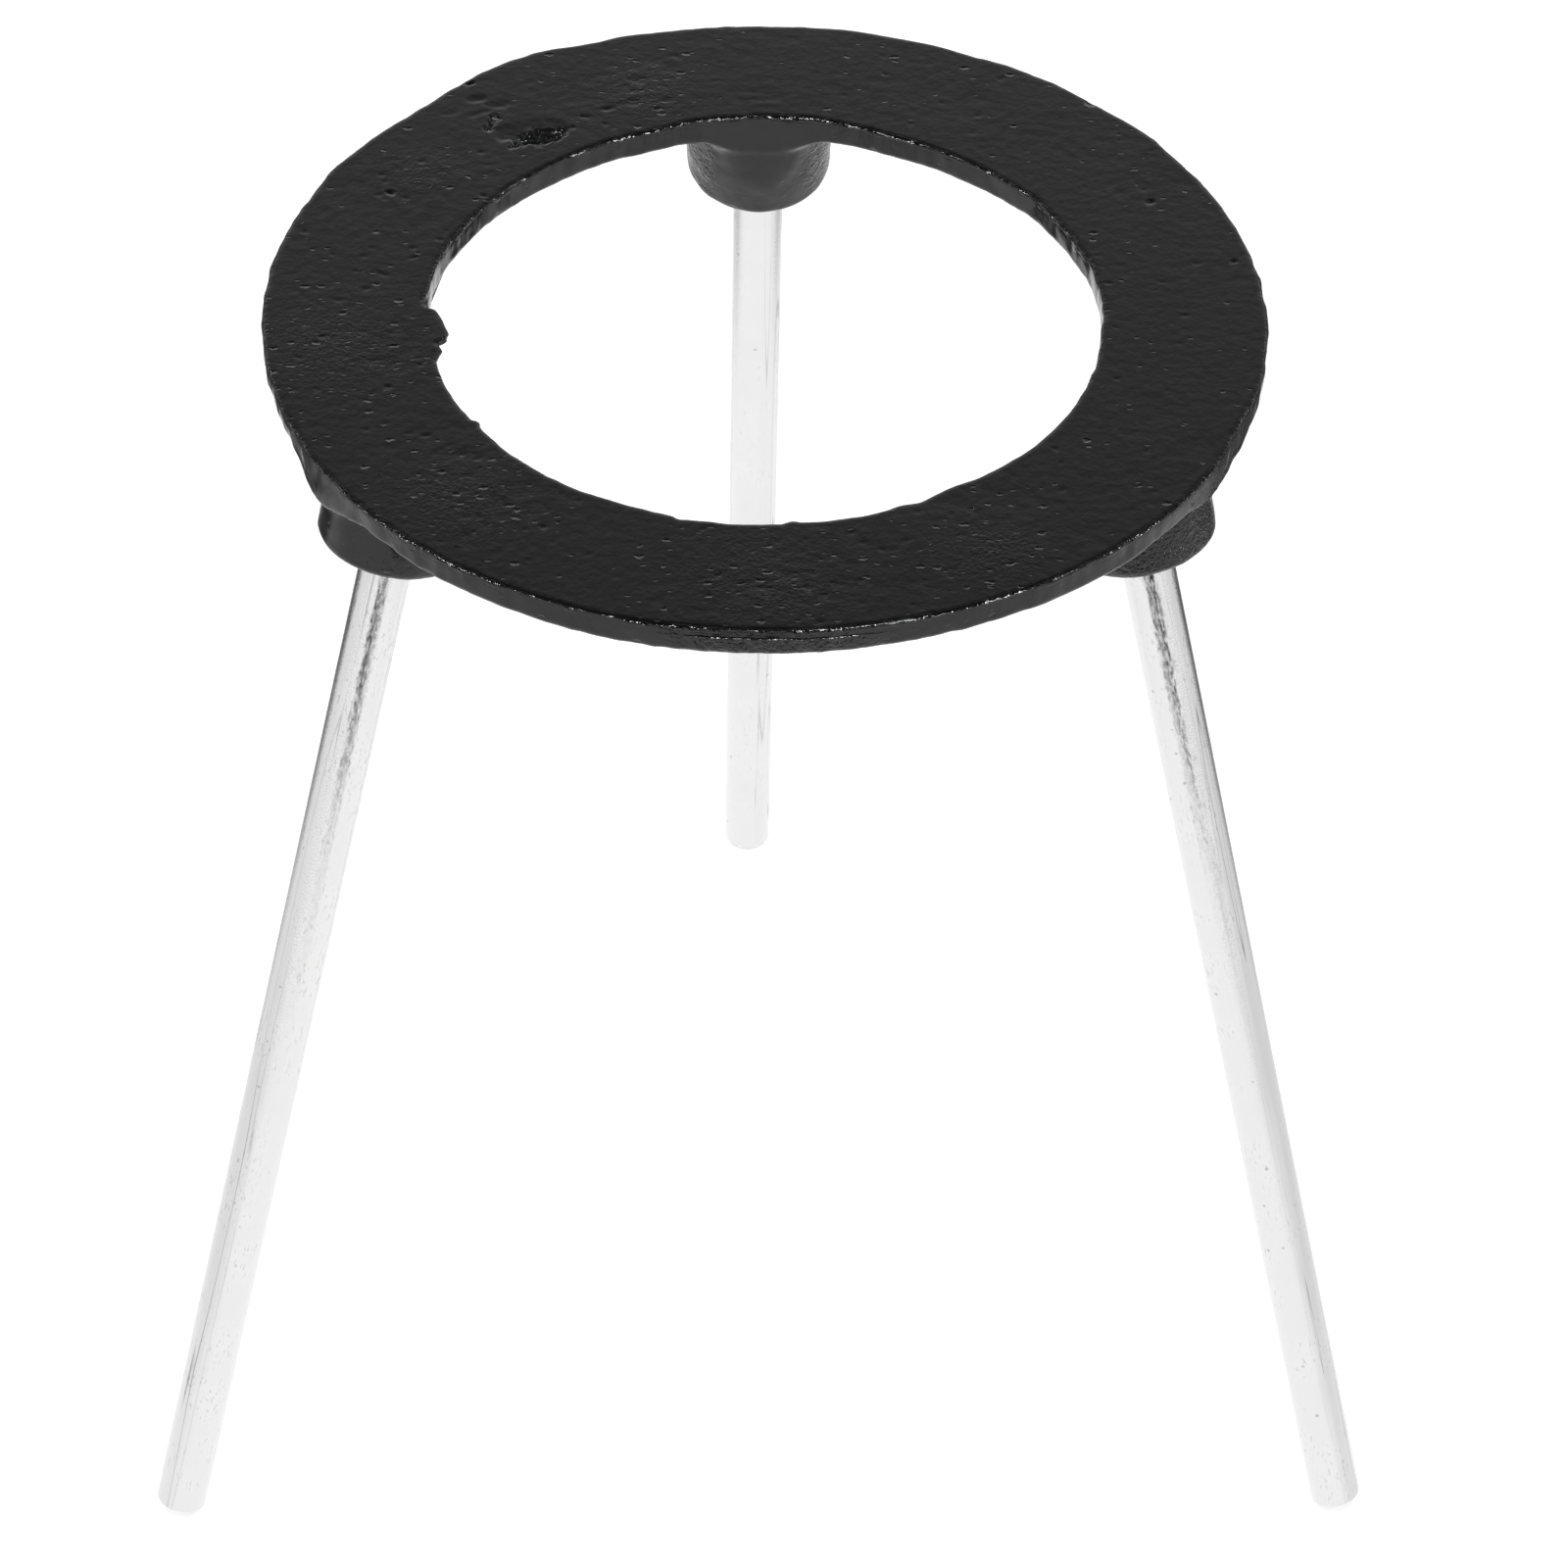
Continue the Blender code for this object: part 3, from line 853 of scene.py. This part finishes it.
def make_floor():
    """A plain white floor that shines a little, so that it stays even and pale."""
    material, _, shader = new_material("studio_floor")
    shader.inputs["Base Color"].default_value = (0.8, 0.8, 0.8, 1)
    shader.inputs["Roughness"].default_value = 1.0
    shader.inputs["Specular IOR Level"].default_value = 0.0
    shader.inputs["Emission Color"].default_value = (1, 1, 1, 1)
    shader.inputs["Emission Strength"].default_value = 0.55
    half = 30.0
    corners = np.array([(-half, -half, 0), (half, -half, 0), (half, half, 0), (-half, half, 0)])
    floor = make_mesh_object("floor", corners, np.array([[0, 1, 2, 3]]), material, smooth=False)


def make_card(name, corners):
    """A flat shining card just over the floor that only reflections see, with its nodes and shader."""
    material, tree, shader = new_material(name)
    shader.inputs["Base Color"].default_value = (0.01, 0.01, 0.01, 1)
    shader.inputs["Roughness"].default_value = 1.0
    shader.inputs["Specular IOR Level"].default_value = 0.0
    shader.inputs["Emission Color"].default_value = (1, 1, 1, 1)
    corners = np.array([(x, y, 1 * MM) for x, y in corners])
    card = make_mesh_object(name, corners, np.array([[0, 1, 2, 3]]), material, smooth=False)
    card.visible_camera = False
    card.visible_shadow = False
    card.visible_diffuse = False
    return tree, shader


def make_cards():
    """The dark front of the set, beyond the white floor, and the floor's fall-off to sides and back."""
    _, shader = make_card("front_flag", ((-1.5, -6.0), (1.5, -6.0), (0.10, -0.42), (-0.10, -0.42)))
    shader.inputs["Emission Strength"].default_value = 0.25
    tree, shader = make_card("sweep_card", ((-5.0, -0.30), (5.0, -0.30), (5.0, 3.0), (-5.0, 3.0)))
    place = add_node(tree, "ShaderNodeTexCoord").outputs["Object"]
    parts = add_node(tree, "ShaderNodeSeparateXYZ", {"Vector": place}).outputs
    side = ramp_between(tree, compute(tree, "ABSOLUTE", parts["X"]), 0.11, 0.20)
    back = ramp_between(tree, parts["Y"], 0.03, 0.17)
    shine = compute(tree, "MULTIPLY_ADD", side, -0.14, 1.16)
    shine = compute(tree, "MULTIPLY_ADD", compute(tree, "MULTIPLY", side, back), -0.88, shine)
    tree.links.new(shine, shader.inputs["Emission Strength"])


def add_light(name, ends, width, power, in_gloss):
    """A straight strip light from one end to the other, turned to the ring.

    It shows either in reflections only or not in them at all.
    """
    first, last = Vector(ends[0]), Vector(ends[1])
    middle = (first + last) / 2
    along = (last - first).normalized()
    back = middle - Vector((0, 0, TOP))
    back = (back - back.dot(along) * along).normalized()
    data = bpy.data.lights.new(name, "AREA")
    data.shape = "RECTANGLE"
    data.size, data.size_y = (last - first).length, width
    data.energy = power
    light = bpy.data.objects.new(name, data)
    bpy.context.collection.objects.link(light)
    matrix = Matrix((along, back.cross(along), back)).transposed().to_4x4()
    matrix.translation = middle
    light.matrix_world = matrix
    light.visible_camera = False
    light.visible_glossy = in_gloss
    light.visible_diffuse = not in_gloss


def make_lights():
    """Two long strips either side of the camera make the rims' glints; a wide one lights the floor."""
    add_light("strip_left", ((-1.06, -0.26, 1.16), (-0.09, -0.81, 1.39)), 0.13, 46, True)
    add_light("strip_right", ((0.36, -0.75, 1.39), (1.02, -0.29, 1.19)), 0.13, 42, True)
    add_light("soft_fill", ((-1.6, 0.0, 2.6), (1.6, 0.0, 2.6)), 3.2, 60, False)


def make_world():
    """Bright at the back and low at the sides, dark overhead and at the front; white to the camera."""
    world = bpy.data.worlds.new("studio")
    world.use_nodes = True
    tree = world.node_tree
    background = tree.nodes["Background"]
    direction = add_node(tree, "ShaderNodeTexCoord").outputs["Generated"]
    parts = add_node(tree, "ShaderNodeSeparateXYZ", {"Vector": direction}).outputs
    falling = ramp_between(tree, parts["Z"], 0.05, 0.95, 1.0, 0.0)
    falling = compute(tree, "MULTIPLY", falling, ramp_between(tree, parts["Z"], 0.76, 0.90, 1.15, 0.0))
    behind = ramp_between(tree, parts["Y"], -0.25, 0.35, 0.0, 1.0)
    glow = compute(tree, "MULTIPLY", compute(tree, "MULTIPLY", falling, behind), 0.98)
    low = ramp_between(tree, parts["Z"], 0.0, 0.35, 1.0, 0.0)
    right = vector_math(tree, "DOT_PRODUCT", {0: direction, 1: (0.74, -0.67, 0.0)})["Value"]
    sideways = ramp_between(tree, right, 0.75, 0.97, 0.0, 1.8)
    left = ramp_between(tree, parts["X"], -0.95, -0.7, 1.2, 0.0)
    sideways = compute(tree, "ADD", sideways, left)
    glow = compute(tree, "MULTIPLY_ADD", low, sideways, glow)
    glow = compute(tree, "ADD", glow, 0.05)
    camera_ray = add_node(tree, "ShaderNodeLightPath").outputs["Is Camera Ray"]
    strength = add_node(tree, "ShaderNodeMix", {0: camera_ray, 2: glow, 3: 1.1}, data_type="FLOAT")
    tree.links.new(strength.outputs[0], background.inputs["Strength"])
    background.inputs["Color"].default_value = (1, 1, 1, 1)
    bpy.context.scene.world = world
    bpy.context.scene.view_settings.view_transform = "Standard"


# ---------------------------------------------------------------- the camera

CAMERA_ELEVATION = radians(41.107)
CAMERA_YAW = radians(1.4775)
CAMERA_ROLL = radians(0.8141)
CAMERA_DISTANCE = 0.99566       # from the point that it aims at
CAMERA_AIM = (3.8055 * MM, -70.847 * MM)    # right and up, from the middle of the ring's top plane
FOCAL_LENGTH = 152.2            # millimetres, on a sensor 36 mm wide


def make_camera():
    """Looks down from the front at the ring's top, a little off to one side."""
    elevation, yaw, roll = CAMERA_ELEVATION, CAMERA_YAW, CAMERA_ROLL
    forward = Vector((sin(yaw) * cos(elevation), cos(yaw) * cos(elevation), -sin(elevation)))
    level = Vector((cos(yaw), -sin(yaw), 0.0))
    upright = Vector((sin(yaw) * sin(elevation), cos(yaw) * sin(elevation), cos(elevation)))
    aim = Vector((0, 0, TOP)) + CAMERA_AIM[0] * level + CAMERA_AIM[1] * upright
    right = cos(roll) * level + sin(roll) * upright
    up = cos(roll) * upright - sin(roll) * level
    data = bpy.data.cameras.new("camera")
    data.lens = FOCAL_LENGTH
    data.sensor_width = 36.0
    data.clip_start = 0.01
    camera = bpy.data.objects.new("camera", data)
    matrix = Matrix((right, up, -forward)).transposed().to_4x4()
    matrix.translation = aim - CAMERA_DISTANCE * forward
    camera.matrix_world = matrix
    bpy.context.collection.objects.link(camera)
    bpy.context.scene.camera = camera


# ---------------------------------------------------------------- putting it together

# The directions from the photographed side, by which the painted streaks are placed: towards the camera,
# and to the right
FRONT, RIGHT = (0, -1, 0), (1, 0, 0)


def build():
    make_camera()
    make_world()
    make_lights()
    make_floor()
    make_cards()
    legs = leg_frames()
    casting = make_casting(legs, black_enamel())
    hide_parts("ring_casting")
    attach(casting, "ring")
    for index, (body, node, mouth, up) in enumerate(legs):
        matrix = leg_matrix(mouth, up)
        to_leg = matrix.inverted()
        low = min((to_leg @ v.co).z for v in bpy.data.objects[node].data.vertices)
        to_own = matrix.to_3x3().transposed()
        shadow = to_own @ Vector(SHADED_SIDE[body])
        axes = [((to_own @ Vector(axis)) * Vector((1, 1, 0))).normalized() for axis in (FRONT, RIGHT)]
        offset = (index * 0.11, 0.0, index * 0.37)
        # Painted shade on one side and painted reflection streaks, with the rod's real flecks
        shade_and_wear = (shadow, SIDE_SHADE[body], FLECKS[body], SHADE_STREAKS[body])
        zinc = bright_zinc(f"bright_zinc_{body}", offset, *shade_and_wear, axes)
        leg = make_leg(f"{body}_rod", low + FOOT_RISE, index * 0.31, matrix, zinc)
        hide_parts(node)
        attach(leg, body)


build()
bpy.context.view_layer.update()
